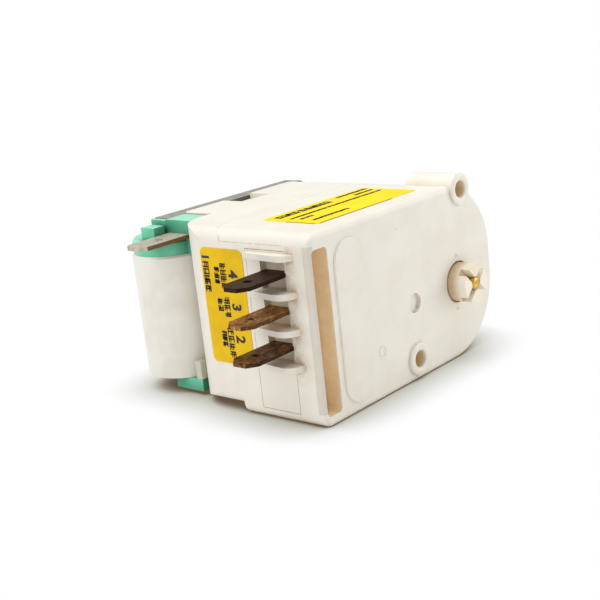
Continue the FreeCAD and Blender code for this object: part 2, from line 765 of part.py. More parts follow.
def make_rotor_shaft():
    return rod(rotor_x, rotor_z, motor_shaft_radius, pinion_front_y, bracket_back_y() + 0.6)


def make_rotor_pinion():
    body = gear(rotor_x, rotor_z, pinion_teeth, 180, pinion_front_y, pinion_rear_y)
    return body.cut(rod(rotor_x, rotor_z, motor_shaft_radius + seat_gap, pinion_front_y - 1, pinion_rear_y + 1))


def make_rear_bearing():
    """Bracket across the back of the plates that carries the rotor's rear end."""
    half = bracket_width / 2
    reach = motor_screw_offset + 3
    front = stack_end_y + bracket_gap
    strap = rounded(rotor_x - half, rotor_x + half, rotor_z - reach, rotor_z + reach, half - 0.1, half - 0.1,
                    front, bracket_back_y())
    feet = [rod(rotor_x, z, half - 0.1, stack_end_y, front)
            for z in (rotor_z - motor_screw_offset, rotor_z + motor_screw_offset)]
    boss = rod(rotor_x, rotor_z, motor_shaft_radius + bearing_wall, stack_end_y + wheel_end_gap, bracket_back_y() + 0.4)
    body = fuse(strap, boss, *feet)
    cuts = [rod(rotor_x, rotor_z, motor_shaft_radius + running_gap, stack_end_y - 1, bracket_back_y() + 1)]
    for z in (rotor_z - motor_screw_offset, rotor_z + motor_screw_offset):
        cuts.append(rod(rotor_x, z, motor_screw_radius + loose_gap, stack_end_y - 1, bracket_back_y() + 1))
    return body.cut(cuts)


def make_stator_screws():
    screws = []
    for z in (rotor_z - motor_screw_offset, rotor_z + motor_screw_offset):
        shank = rod(rotor_x, z, motor_screw_radius, rear_depth - motor_screw_depth + 0.3, bracket_back_y() + 0.5)
        head = rod(rotor_x, z, screw_head_radius, bracket_back_y(), bracket_back_y() + screw_head_height)
        slot = box(rotor_x - 3, rotor_x + 3, bracket_back_y() + screw_head_height - 0.6,
                   bracket_back_y() + screw_head_height + 1, z - 0.3, z + 0.3)
        screws.append(fuse(shank, head).cut(slot))
    return Part.makeCompound(screws)


def make_side_label():
    face = box(-label_thickness, 0, side_label_y, side_label_end_y, side_label_z, side_label_top_z)
    edges = [edge for edge in face.Edges if abs(edge.BoundBox.XLength - label_thickness) < 1e-6]
    return face.makeFillet(side_label_radius, edges)


def make_top_label():
    face = box(top_label_x, top_label_end_x, top_label_y, top_label_end_y, height, height + label_thickness)
    edges = [edge for edge in face.Edges if abs(edge.BoundBox.ZLength - label_thickness) < 1e-6]
    return face.makeFillet(top_label_radius, edges)


def make_pieces():
    pieces = {
        "front_cover": make_front_cover(),
        "rear_case": make_rear_case(),
        "gear_plate": make_gear_plate(),
        "terminal_block": make_terminal_block(),
        "tab_4": make_blade(blade_tops[0]),
        "tab_3": make_blade(blade_tops[1]),
        "tab_2": make_blade(blade_tops[2]),
        "tab_1": make_coil_blade(),
        "upper_leaf": make_upper_leaf(),
        "lower_leaf": make_lower_leaf(),
        "arm_root": make_arm_root(),
        "contact_arm": make_contact_arm(),
        "upper_contact": make_rivet(upper_leaf_z() - contact_head,
                                    upper_leaf_z() + leaf_thickness + contact_head, upper_leaf_z()),
        "lower_contact": make_rivet(lower_leaf_z() - contact_head,
                                    lower_leaf_z() + leaf_thickness + contact_head, lower_leaf_z()),
        "arm_contact": make_rivet(arm_flat_z - contact_head, arm_flat_z + leaf_thickness + contact_head,
                                  arm_flat_z),
        "cam": make_cam(),
        "cam_axle": rod(cam_x, cam_z, axle_radius, -axle_reach, gear_plate_end_y),
        "clutch_washer": make_clutch_washer(),
        "drive_gear": make_drive_gear(),
        "long_axle": rod(idler_d_x, idler_d_z, idler_axle_radius, axle_front_y, axle_end_y),
        "short_axle": rod(idler_e_x, idler_e_z, idler_axle_radius, gear_plate_y, axle_end_y),
        "rotor_shaft": make_rotor_shaft(),
        "rotor_pinion": make_rotor_pinion(),
        "rotor_magnet": make_rotor_magnet(),
        "rear_bearing": make_rear_bearing(),
        "stator_stack": make_stator_stack(),
        "core_bar": make_core_bar(),
        "bobbin": make_bobbin(),
        "coil_winding": make_coil_winding(),
        "coil_sleeve": make_coil_sleeve(),
        "stator_screws": make_stator_screws(),
        "side_label": make_side_label(),
        "top_label": make_top_label(),
    }
    for number, idler in enumerate(make_idlers(), start=1):
        pieces["idler_%d" % number] = idler
    return pieces


def main():
    os.makedirs("parts", exist_ok=True)
    to_origin = vec(-lower_hole_x, boss_rise, -lower_hole_z)
    for name, shape in make_pieces().items():
        shape.translated(to_origin).exportStep("parts/%s.step" % name)


main()
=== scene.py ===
import json
import math
import random

import bmesh
import bpy
from mathutils import Matrix, Vector


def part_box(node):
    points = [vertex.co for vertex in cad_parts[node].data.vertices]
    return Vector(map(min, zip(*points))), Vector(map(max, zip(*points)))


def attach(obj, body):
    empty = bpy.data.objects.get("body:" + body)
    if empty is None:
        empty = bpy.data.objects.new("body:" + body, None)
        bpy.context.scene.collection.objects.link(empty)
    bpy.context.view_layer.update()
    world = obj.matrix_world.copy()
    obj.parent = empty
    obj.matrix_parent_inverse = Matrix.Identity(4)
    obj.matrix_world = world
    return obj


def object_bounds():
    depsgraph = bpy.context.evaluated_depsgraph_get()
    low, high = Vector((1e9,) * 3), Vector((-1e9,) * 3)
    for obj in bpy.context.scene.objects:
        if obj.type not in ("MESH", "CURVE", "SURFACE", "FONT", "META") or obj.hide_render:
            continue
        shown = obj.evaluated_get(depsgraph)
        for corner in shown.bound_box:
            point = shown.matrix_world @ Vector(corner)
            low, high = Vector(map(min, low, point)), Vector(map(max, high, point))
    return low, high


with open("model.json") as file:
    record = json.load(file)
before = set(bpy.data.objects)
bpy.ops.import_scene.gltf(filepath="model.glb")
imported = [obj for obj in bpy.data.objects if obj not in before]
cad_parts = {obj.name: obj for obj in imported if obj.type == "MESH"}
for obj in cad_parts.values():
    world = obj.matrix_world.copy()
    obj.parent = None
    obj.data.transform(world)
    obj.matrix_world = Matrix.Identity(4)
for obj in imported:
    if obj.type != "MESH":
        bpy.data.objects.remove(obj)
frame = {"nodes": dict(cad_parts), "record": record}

cad_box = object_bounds()
random.seed(4)

MM = 0.001
BOSS_RISE = 0.4
INK_LIFT = 0.03 * MM

# Places on the housing, in millimetres from its lower left front corner
SCREW_HOLES = {"lower": (31.6, 4.62), "upper": (50.96, 37.04)}
SHAFT = (48.58, 16.97)
EJECTOR_MARKS = [(48.4, 22.9, 0.5), (43.0, 17.2, 0.5), (47.6, 11.2, 0.5), (19.4, 10.0, 1.2)]
PARTING_Y = 26.7
TONGUE_Z = 36
STACK_Y = 45.5
SEAM_HALF_WIDTH = 0.09

# The bobbin's upright rib beside the sleeve's foot, which is shown pale like the sleeve behind it
RIB_LOW = (3.9, 37.2, 3.72)
RIB_HIGH = (5.7, 39.0, 7.9)

# The camera that took the photograph: sensor width in millimetres, focal length and picture width in pixels
SENSOR = 36
FOCAL_PIXELS = 1124.47
PHOTO_PIXELS = 600

cover_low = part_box("front_cover")[0]


def at(x, y, z):
    """A point given in the housing's millimetres, as a point of the frame."""
    return Vector((cover_low[0] + x * MM, cover_low[1] + (y + BOSS_RISE) * MM, cover_low[2] + z * MM))


def linear(red, green, blue):
    """A colour of 0 to 255 as linear light."""
    def channel(value):
        value = value / 255
        return value / 12.92 if value <= 0.04045 else ((value + 0.055) / 1.055) ** 2.4
    return (channel(red), channel(green), channel(blue), 1.0)


CREAM = linear(238, 234, 222)
CREAM_AGED = linear(234, 228, 214)
# Painted shade: the tan given to the recess's shaded inside
RECESS_SHADE_TAN = linear(250, 230, 196)
# Warm tone for soiling and painted shade in the corners
CORNER_DIRT_AND_SHADE = linear(176, 140, 96)
SPECK = linear(128, 96, 58)
# Painted shade: the tan given to the insides of the screw holes
HOLE_SHADE_TAN = linear(246, 218, 170)


# Node trees
class Surface:
    """A material under construction: its tree, its shader and short calls for common nodes."""

    def __init__(self, name, roughness=0.5, metallic=0.0, specular=0.5):
        self.material = bpy.data.materials.new(name)
        self.material.use_nodes = True
        self.tree = self.material.node_tree
        self.shader = self.tree.nodes["Principled BSDF"]
        self.shader.inputs["Roughness"].default_value = roughness
        self.shader.inputs["Metallic"].default_value = metallic
        self.shader.inputs["Specular IOR Level"].default_value = specular
        self.place = self.add("ShaderNodeTexCoord").outputs["Object"]

    def add(self, kind, **settings):
        node = self.tree.nodes.new(kind)
        for key, value in settings.items():
            setattr(node, key, value)
        return node

    def feed(self, socket, value):
        """Links an output, or writes a plain value, into an input."""
        if isinstance(value, bpy.types.NodeSocket):
            self.tree.links.new(value, socket)
        else:
            socket.default_value = value

    def set(self, name, value):
        self.feed(self.shader.inputs[name], value)

    def noise(self, size, detail=4.0, roughness=0.55, distortion=0.0, stretch=(1, 1, 1)):
        """Noise whose features are about the given size in millimetres."""
        node = self.add("ShaderNodeTexNoise")
        self.feed(node.inputs["Vector"], self.stretched(stretch))
        self.feed(node.inputs["Scale"], 1 / (size * MM))
        self.feed(node.inputs["Detail"], detail)
        self.feed(node.inputs["Roughness"], roughness)
        self.feed(node.inputs["Distortion"], distortion)
        return node.outputs["Fac"]

    def stretched(self, stretch):
        if stretch == (1, 1, 1):
            return self.place
        mapping = self.add("ShaderNodeMapping")
        self.feed(mapping.inputs["Vector"], self.place)
        mapping.inputs["Scale"].default_value = stretch
        return mapping.outputs["Vector"]

    def math(self, operation, first, second=0.0, third=0.0, clamp=False):
        node = self.add("ShaderNodeMath", operation=operation, use_clamp=clamp)
        for socket, value in zip(node.inputs, (first, second, third)):
            self.feed(socket, value)
        return node.outputs["Value"]

    def between(self, value, low, high):
        """0 below low, 1 above high, smooth between them."""
        node = self.add("ShaderNodeMapRange", interpolation_type="SMOOTHSTEP")
        self.feed(node.inputs["Value"], value)
        node.inputs["From Min"].default_value = low
        node.inputs["From Max"].default_value = high
        return node.outputs["Result"]

    def coordinate(self, axis):
        node = self.add("ShaderNodeSeparateXYZ")
        self.feed(node.inputs["Vector"], self.place)
        return node.outputs[axis]

    def mix(self, share, first, second):
        node = self.add("ShaderNodeMix", data_type="RGBA")
        self.feed(node.inputs["Factor"], share)
        self.feed(node.inputs[6], first)
        self.feed(node.inputs[7], second)
        return node.outputs[2]

    def crevice(self, reach, power=1.0):
        """1 in tight corners and 0 on open faces."""
        node = self.add("ShaderNodeAmbientOcclusion", samples=4)
        node.inputs["Distance"].default_value = reach * MM
        return self.math("POWER", self.math("SUBTRACT", 1.0, node.outputs["AO"], clamp=True), power)

    def specks(self, spacing, size, share):
        """Scattered small spots: one in some of the cells of a grid of the given spacing."""
        node = self.add("ShaderNodeTexVoronoi")
        self.feed(node.inputs["Vector"], self.place)
        self.feed(node.inputs["Scale"], 1 / (spacing * MM))
        near = self.math("LESS_THAN", node.outputs["Distance"], size / spacing)
        parts = self.add("ShaderNodeSeparateColor")
        self.feed(parts.inputs["Color"], node.outputs["Color"])
        chosen = self.math("GREATER_THAN", parts.outputs["Red"], 1 - share)
        return self.math("MULTIPLY", near, chosen)

    def bump(self, height, depth, strength=1.0):
        """Bump from a height of 0 to 1 that stands for the given depth in millimetres."""
        node = self.add("ShaderNodeBump")
        self.feed(node.inputs["Height"], height)
        node.inputs["Distance"].default_value = depth * MM
        node.inputs["Strength"].default_value = strength
        self.feed(self.shader.inputs["Normal"], node.outputs["Normal"])


def moulded_plastic(name, fresh, aged, dirt_and_shade_colour, roughness, dirt_and_shade_share=0.75, speck_share=0.12, tint=None):
    """Moulded plastic: slow colour drift, warm soiling and painted shade in the corners, small specks and a
    fine grain.
    """
    s = Surface(name, roughness)
    drift = s.between(s.noise(9, detail=3), 0.35, 0.7)
    colour = s.mix(drift, fresh, aged)
    fine = s.noise(0.7, detail=5, roughness=0.7)
    colour = s.mix(s.math("MULTIPLY", s.between(fine, 0.5, 0.8), 0.2), colour, aged)
    if tint:
        colour = tint(s, colour)
    # Soiling and painted shade: corners darken towards a warm tone, in broken patches
    corner = s.math("MULTIPLY", s.crevice(1.6, 1.5), dirt_and_shade_share)
    broken = s.math("MULTIPLY", corner, s.between(s.noise(1.6, detail=5), 0.25, 0.65))
    colour = s.mix(broken, colour, dirt_and_shade_colour)
    large = s.specks(4.3, 0.16, speck_share)
    small = s.specks(2.3, 0.07, speck_share * 1.2)
    spots = s.math("ADD", large, small, clamp=True)
    colour = s.mix(s.math("MULTIPLY", spots, 0.8), colour, SPECK)
    s.set("Base Color", colour)
    s.set("Roughness", s.math("MULTIPLY_ADD", fine, 0.18, roughness - 0.09))
    grain = s.noise(0.12, detail=3, roughness=0.6)
    s.bump(grain, 0.010, 0.35)
    return s.material


def inside_box(s, low, high):
    """1 within a box given by two corners in the housing's millimetres, 0 elsewhere."""
    share = 1.0
    for axis, least, most in zip("XYZ", at(*low), at(*high)):
        place = s.coordinate(axis)
        share = s.math("MULTIPLY", share, s.math("GREATER_THAN", place, least))
        share = s.math("MULTIPLY", share, s.math("LESS_THAN", place, most))
    return share


def inside_hole(s, x, z, radius, depth):
    """1 on the wall and floor of a hole along Y, 0 elsewhere."""
    centre = at(x, 0, z)
    east = s.math("SUBTRACT", s.coordinate("X"), centre.x)
    above = s.math("SUBTRACT", s.coordinate("Z"), centre.z)
    squares = s.math("ADD", s.math("MULTIPLY", east, east), s.math("MULTIPLY", above, above))
    near = s.math("LESS_THAN", s.math("SQRT", squares), radius * MM)
    return s.math("MULTIPLY", near, s.math("GREATER_THAN", s.coordinate("Y"), at(0, depth, 0).y))


def pockets_dusted_and_shaded(s, colour):
    """Tan in the pockets behind the blades and on the ledges' front ends, besides the recess: dusting and
    painted shade under the fins.
    """
    patchiness = s.between(s.noise(0.9, detail=5, roughness=0.7), 0.25, 0.75)
    pockets = inside_box(s, (0.1, 6.2, 8), (1.7, 12.8, 34))
    ends = inside_box(s, (-3.3, 3.5, 8), (-0.01, 4.7, 35))
    # Dusting and painted shade in the pockets under the fins
    pocket_dusting_and_shade = s.math("MULTIPLY", pockets, s.math("MULTIPLY_ADD", patchiness, 0.4, 0.2))
    colour = s.mix(pocket_dusting_and_shade, colour, linear(226, 196, 152))
    # Dusting and painted shade on the ledges' front ends
    end_dusting_and_shade = s.math("MULTIPLY", ends, s.math("MULTIPLY_ADD", patchiness, 0.3, 0.05))
    colour = s.mix(end_dusting_and_shade, colour, linear(222, 196, 160))
    return recess_painted_shade(s, colour)


def recess_painted_shade(s, colour):
    """Painted shade: the tall recess in the front face is tan inside, on its walls and on the block behind
    it.
    """
    mottle = s.noise(2.5, detail=4)
    tan = s.mix(s.between(mottle, 0.3, 0.75), RECESS_SHADE_TAN, linear(240, 214, 174))
    return s.mix(inside_box(s, (0.78, 0.25, 2.2), (5.34, 4.6, 35.3)), colour, tan)


def near_value(s, value, centre, half):
    """1 where a value lies within half of a centre, fading to 0 at its edges."""
    off = s.math("ABSOLUTE", s.math("SUBTRACT", value, centre))
    return s.between(off, half, half * 0.4)


def seams_and_painted_shade(s, colour):
    """Broken tan seams on the shells, painted shade tan inside the holes, soiling and painted shade by the
    ledges, and a corner greyed with painted shade.
    """
    patchiness = s.between(s.noise(1.3, detail=5, roughness=0.7), 0.3, 0.62)
    half = SEAM_HALF_WIDTH * MM
    straight = s.math("MULTIPLY", near_value(s, s.coordinate("Y"), at(0, PARTING_Y, 0).y, half),
                      s.math("GREATER_THAN", s.coordinate("X"), at(8, 0, 0).x))
    tongue = s.math("MULTIPLY", near_value(s, s.coordinate("Z"), at(0, 0, TONGUE_Z).z, half),
                    inside_box(s, (-1, 6.3, 35), (0.4, 22.9, 37)))
    arc = s.math("MULTIPLY", near_value(s, arc_distance(s), 0.0, half),
                 inside_box(s, (-1, 22.7, 35.9), (8, 26.8, 39)))
    lines = s.math("MAXIMUM", straight, s.math("MAXIMUM", tongue, arc))
    colour = s.mix(s.math("MULTIPLY", lines, patchiness), colour, linear(206, 178, 140))
    # Painted shade: the screw holes are tan inside
    lower, upper = [inside_hole(s, x, z, 1.9, 0.1) for x, z in SCREW_HOLES.values()]
    holes = s.math("MAXIMUM", lower, upper)
    colour = s.mix(s.math("MULTIPLY", holes, 0.9), colour, HOLE_SHADE_TAN)
    # Soiling and painted shade beside the ledges' front ends
    ledge_side = inside_box(s, (-0.3, 1.2, 8), (0.4, 6, 36))
    beside_ledges = s.math("MULTIPLY", ledge_side, s.crevice(4.0, 0.7))
    colour = s.mix(s.math("MULTIPLY", beside_ledges, patchiness), colour, linear(176, 124, 70))
    # Painted shade: a greyed band down the rounded front-left corner
    corner_painted_shade = inside_box(s, (-0.3, -0.1, 3), (1.3, 1.6, 36))
    colour = s.mix(s.math("MULTIPLY", corner_painted_shade, 0.3), colour, linear(168, 152, 128))
    return recess_painted_shade(s, colour)


def arc_distance(s):
    """How far a surface point lies from the parting line's round end, seen from above."""
    start, middle, end = at(0, 22.8, 0), at(3.2, 25.53, 0), at(8, PARTING_Y, 0)
    centre = circle_centre(start, middle, end)
    east = s.math("SUBTRACT", s.coordinate("X"), centre.x)
    north = s.math("SUBTRACT", s.coordinate("Y"), centre.y)
    squares = s.math("ADD", s.math("MULTIPLY", east, east), s.math("MULTIPLY", north, north))
    return s.math("SUBTRACT", s.math("SQRT", squares), (start - centre).xy.length)


def circle_centre(first, second, third):
    """Centre, in plan, of the circle through three points."""
    rows = Matrix(((second.x - first.x, second.y - first.y), (third.x - first.x, third.y - first.y)))
    sums = Vector(((second.xy.length_squared - first.xy.length_squared) / 2,
                   (third.xy.length_squared - first.xy.length_squared) / 2))
    place = rows.inverted() @ sums
    return Vector((place.x, place.y, 0))


def shaft_painted_shade(s, colour):
    """Painted shade: the shaft is tan towards the cover and paler at its end."""
    towards_cover = s.between(s.coordinate("Y"), at(0, -3.6, 0).y, at(0, -0.6, 0).y)
    grain = s.math("MULTIPLY_ADD", s.noise(0.6, detail=4), 0.5, 0.6)
    return s.mix(s.math("MULTIPLY", towards_cover, grain), colour, linear(196, 164, 122))


def facing(s, axis, sign):
    """1 on faces that look along the given signed axis, 0 elsewhere."""
    node = s.add("ShaderNodeSeparateXYZ")
    s.feed(node.inputs["Vector"], s.add("ShaderNodeTexCoord").outputs["Normal"])
    return s.math("GREATER_THAN", s.math("MULTIPLY", node.outputs[axis], sign), 0.7)


def tarnished_blade(name, dark, warm, gold, warm_share, gold_share):
    """Brass strip browned by heat, with lighter rubbed patches, a grain along the blade, and painted shade
    in its corners and on its front faces.
    """
    s = Surface(name, 0.6, metallic=0.1, specular=0.12)
    blotch = s.noise(1.7, detail=6, roughness=0.68, distortion=0.6)
    colour = s.mix(s.between(blotch, 0.62 - warm_share, 0.74 - warm_share), dark, warm)
    rubbed = s.noise(0.8, detail=6, roughness=0.75, stretch=(0.45, 1, 1))
    colour = s.mix(s.between(rubbed, 0.70 - gold_share, 0.80 - gold_share), colour, gold)
    # Painted shade: darker in the corners and on the faces that look to the front
    corner = s.math("MULTIPLY", s.crevice(0.5), 0.5)
    front = s.math("MULTIPLY", facing(s, "Y", -1), 0.75)
    edge = s.math("MAXIMUM", corner, front)
    colour = s.mix(edge, colour, tuple(channel * 0.45 for channel in dark[:3]) + (1.0,))
    s.set("Base Color", colour)
    s.set("Roughness", s.math("MULTIPLY_ADD", blotch, 0.35, 0.36))
    scratch = s.noise(0.25, detail=3, stretch=(0.12, 1, 1))
    s.bump(s.math("ADD", scratch, s.math("MULTIPLY", rubbed, 0.6)), 0.03, 0.5)
    return s.material


def plated_blade():
    """Dull grey-beige plating that has worn to brown metal along the front edge."""
    s = Surface("plated_blade", 0.45, metallic=0.35)
    blotch = s.noise(1.3, detail=6, roughness=0.7)
    colour = s.mix(s.between(blotch, 0.4, 0.7), linear(202, 194, 178), linear(168, 156, 136))
    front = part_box("tab_1")[0][1]
    near_edge = s.between(s.coordinate("Y"), front + 0.5 * MM, front + 0.02 * MM)
    side = s.between(s.math("ADD", near_edge, s.math("MULTIPLY", blotch, 0.6)), 0.75, 1.15)
    colour = s.mix(side, colour, linear(122, 84, 48))
    s.set("Base Color", colour)
    s.set("Roughness", s.math("MULTIPLY_ADD", blotch, 0.3, 0.3))
    s.bump(s.noise(0.3, detail=3, stretch=(0.15, 1, 1)), 0.02, 0.5)
    return s.material


def green_plastic():
    """Green plastic, minty where it is lit from above and painted a deep shade in the corners."""
    s = Surface("green_plastic", 0.36)
    drift = s.noise(4, detail=3)
    colour = s.mix(s.between(drift, 0.35, 0.7), linear(120, 218, 180), linear(100, 204, 164))
    # Painted light: faces that look up are lighter
    colour = s.mix(s.math("MULTIPLY", facing(s, "Z", 1), 0.6), colour, linear(176, 240, 214))
    # Painted shade: deep green in the corners
    colour = s.mix(s.crevice(5, 0.7), colour, linear(22, 104, 72))
    colour = s.mix(inside_box(s, RIB_LOW, RIB_HIGH), colour, linear(206, 200, 184))
    s.set("Base Color", colour)
    s.set("Roughness", s.math("MULTIPLY_ADD", s.noise(0.6, detail=4), 0.2, 0.27))
    s.shader.inputs["Subsurface Weight"].default_value = 0.15
    s.shader.inputs["Subsurface Radius"].default_value = (0.4, 1.0, 0.7)
    s.shader.inputs["Subsurface Scale"].default_value = 1.2 * MM
    s.bump(s.noise(0.15, detail=3), 0.012, 0.35)
    return s.material


def sleeve_plastic():
    """White plastic that greys in the shade towards the case."""
    s = Surface("sleeve_plastic", 0.33)
    drift = s.between(s.noise(7, detail=3), 0.35, 0.7)
    colour = s.mix(drift, linear(236, 233, 224), linear(229, 224, 212))
    # Painted shade: greyer towards the case and in the corners there
    towards_case = s.between(s.coordinate("X"), at(6, 0, 0).x, at(17, 0, 0).x)
    shade_strength = s.math("MULTIPLY_ADD", towards_case, 1.3, 0.15)
    base = s.math("MULTIPLY", towards_case, 0.3)
    shaded = s.math("MULTIPLY_ADD", s.crevice(9.0, 0.9), shade_strength, base, clamp=True)
    colour = s.mix(shaded, colour, linear(134, 122, 100))
    colour = s.mix(s.math("MULTIPLY", s.specks(3.1, 0.09, 0.12), 0.6), colour, SPECK)
    s.set("Base Color", colour)
    s.set("Roughness", s.math("MULTIPLY_ADD", s.noise(1.1, detail=4), 0.22, 0.22))
    s.bump(s.noise(2.2, detail=2, stretch=(1, 1, 0.25)), 0.05, 0.35)
    return s.material


def laminations():
    """Stamped sheets seen on edge: a line every half millimetre, with burrs and light rust."""
    sheet = 0.5
    s = Surface("laminations", 0.5, metallic=0.35)
    depth = s.math("DIVIDE", s.math("SUBTRACT", s.coordinate("Y"), at(0, STACK_Y, 0).y), sheet * MM)
    phase = s.math("FRACT", s.math("ADD", depth, 100.0))
    gap = s.math("MULTIPLY", s.between(phase, 0.0, 0.12), s.between(phase, 1.0, 0.86))
    blotch = s.noise(1.2, detail=6, roughness=0.7)
    colour = s.mix(s.between(blotch, 0.4, 0.7), linear(176, 174, 164), linear(140, 139, 130))
    rust = s.between(s.noise(2.6, detail=5, roughness=0.65), 0.62, 0.75)
    colour = s.mix(s.math("MULTIPLY", rust, 0.4), colour, linear(140, 104, 70))
    colour = s.mix(s.math("SUBTRACT", 1.0, gap), colour, linear(88, 84, 76))
    s.set("Base Color", colour)
    s.set("Roughness", s.math("MULTIPLY_ADD", blotch, 0.3, 0.35))
    s.bump(gap, 0.06, 0.7)
    return s.material


def bright_metal(name, colour, roughness, metallic=1.0):
    """Plain metal with darker worn patches and a fine grain."""
    s = Surface(name, roughness, metallic=metallic)
    wear = s.noise(0.9, detail=5, roughness=0.65)
    darker = tuple(channel * 0.72 for channel in colour[:3]) + (1.0,)
    s.set("Base Color", s.mix(s.between(wear, 0.45, 0.75), colour, darker))
    s.set("Roughness", s.math("MULTIPLY_ADD", wear, 0.25, roughness - 0.1))
    s.bump(s.noise(0.2, detail=3), 0.012, 0.4)
    return s.material


def label_paper(name, fresh, faded, black_specks):
    """Printed film with slow fading and small specks."""
    s = Surface(name, 0.6, specular=0.2)
    drift = s.between(s.noise(5, detail=4), 0.35, 0.7)
    colour = s.mix(drift, fresh, faded)
    spots = s.math("MULTIPLY", s.specks(1.9, 0.06, black_specks), 0.75)
    colour = s.mix(spots, colour, linear(120, 90, 20))
    s.set("Base Color", colour)
    s.set("Roughness", s.math("MULTIPLY_ADD", s.noise(0.8, detail=4), 0.2, 0.5))
    s.bump(s.noise(0.9, detail=4), 0.02, 0.3)
    return s.material


def print_ink():
    """Black print with slightly worn edges."""
    s = Surface("print_ink", 0.42)
    wear = s.noise(0.22, detail=4, roughness=0.7)
    s.set("Base Color", s.mix(s.between(wear, 0.62, 0.8), linear(34, 26, 22), linear(96, 74, 30)))
    s.set("Roughness", s.math("MULTIPLY_ADD", wear, 0.2, 0.35))
    return s.material


materials = {
    "housing": moulded_plastic("housing_plastic", CREAM, CREAM_AGED, CORNER_DIRT_AND_SHADE, 0.42, tint=seams_and_painted_shade),
    "terminal_plastic": moulded_plastic("terminal_plastic", linear(236, 231, 219), CREAM_AGED, CORNER_DIRT_AND_SHADE, 0.45,
                                        dirt_and_shade_share=0.5, tint=pockets_dusted_and_shaded),
    "cam_plastic": moulded_plastic("cam_plastic", linear(246, 239, 221), linear(238, 226, 198), CORNER_DIRT_AND_SHADE,
                                   0.4, speck_share=0.2, tint=shaft_painted_shade),
    "gear_plastic": moulded_plastic("gear_plastic", linear(240, 238, 228), linear(230, 225, 210), CORNER_DIRT_AND_SHADE,
                                    0.38),
    "green_plastic": green_plastic(),
    "white_sleeve": sleeve_plastic(),
    "tab_4": tarnished_blade("blade_dark", linear(50, 27, 12), linear(82, 48, 24), linear(112, 74, 40),
                             warm_share=0.08, gold_share=0.0),
    "tab_3": tarnished_blade("blade_gold", linear(84, 52, 26), linear(150, 102, 54), linear(206, 156, 94),
                             warm_share=0.24, gold_share=0.2),
    "tab_2": tarnished_blade("blade_brown", linear(58, 36, 20), linear(122, 82, 44), linear(190, 142, 82),
                             warm_share=0.18, gold_share=0.14),
    "plated_brass": plated_blade(),
    "bright_brass": bright_metal("turned_brass", linear(226, 180, 82), 0.3),
    "spring_bronze": bright_metal("spring_bronze", linear(204, 160, 110), 0.35),
    "contact_silver": bright_metal("contact_silver", linear(214, 212, 206), 0.3),
    "steel": bright_metal("ground_steel", linear(178, 178, 176), 0.38),
    "lamination": laminations(),
    "magnet": bright_metal("bonded_magnet", linear(52, 50, 48), 0.55, metallic=0.1),
    "copper": bright_metal("enamelled_copper", linear(196, 112, 64), 0.35),
    "label_side": label_paper("side_label_film", linear(238, 196, 10), linear(226, 182, 16), 0.25),
    "label_top": label_paper("top_label_film", linear(250, 226, 16), linear(244, 216, 16), 0.1),
    "ink": print_ink(),
    # Painted shadow under the top label's lifted edges
    "painted_label_shadow": label_paper("painted_label_shadow", linear(150, 112, 40), linear(196, 150, 60), 0.3),
}


def dress_nodes():
    """Every CAD node takes the material of its slot, and each blade has its own tarnish."""
    slots = {entry["node"]: entry["material_slot"] for entry in frame["record"]["subparts"]}
    for name, node in frame["nodes"].items():
        material = materials.get(name, materials.get(slots[name]))
        node.data.materials.clear()
        node.data.materials.append(material)


def show(name, mesh, material, body):
    """Puts a mesh into the scene as a piece that rides a body and has a slot."""
    piece = bpy.data.objects.new(name, mesh)
    bpy.context.collection.objects.link(piece)
    mesh.materials.clear()
    mesh.materials.append(material)
    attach(piece, body)
    return piece


# Print on the labels
def label_frame(kind):
    """A label's print: its origin, along a line of print, up the letters, and out of the label."""
    if kind == "side":
        low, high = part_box("side_label")
        return Vector((low[0], high[1], high[2])), Vector((0, 0, -1)), Vector((0, -1, 0)), Vector((-1, 0, 0))
    low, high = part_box("top_label")
    return Vector((low[0], low[1], high[2])), Vector((1, 0, 0)), Vector((0, 1, 0)), Vector((0, 0, 1))


def add_bar(mesh, frame_of_print, along, up, width, tall):
    """A small printed bar, centred at the given place on the label, in millimetres."""
    origin, right, above, out = frame_of_print
    corners = []
    for side, level in ((-1, -1), (1, -1), (1, 1), (-1, 1)):
        u = along + side * width / 2
        v = up + level * tall / 2
        corners.append(mesh.verts.new(origin + right * u * MM + above * v * MM + out * INK_LIFT))
    mesh.faces.new(corners)


def print_line(mesh, frame_of_print, start, up, length, tall, weight=0.2):
    """A line of generic print: signs of a few upright and flat strokes each, that spell nothing."""
    place = start
    while place < start + length:
        width = random.uniform(0.6, 0.9) * tall
        stroke = tall * weight
        for level in random.sample((-0.42, -0.14, 0.14, 0.42), 3):
            add_bar(mesh, frame_of_print, place + width / 2, up + level * tall, width, stroke * 0.8)
        for side in random.sample((0.1, 0.5, 0.9), 2):
            add_bar(mesh, frame_of_print, place + width * side, up, stroke, tall)
        place += width + tall * 0.16


def publish(mesh, name, material, smooth=False):
    """Ends a mesh under construction and shows it on the housing."""
    data = bpy.data.meshes.new(name)
    mesh.to_mesh(data)
    mesh.free()
    for face in data.polygons:
        face.use_smooth = smooth
    show(name, data, materials[material], "housing")


def finish_print(mesh, name):
    """Turns the printed bars one way and shows them in ink."""
    bmesh.ops.recalc_face_normals(mesh, faces=mesh.faces)
    publish(mesh, name, "ink")


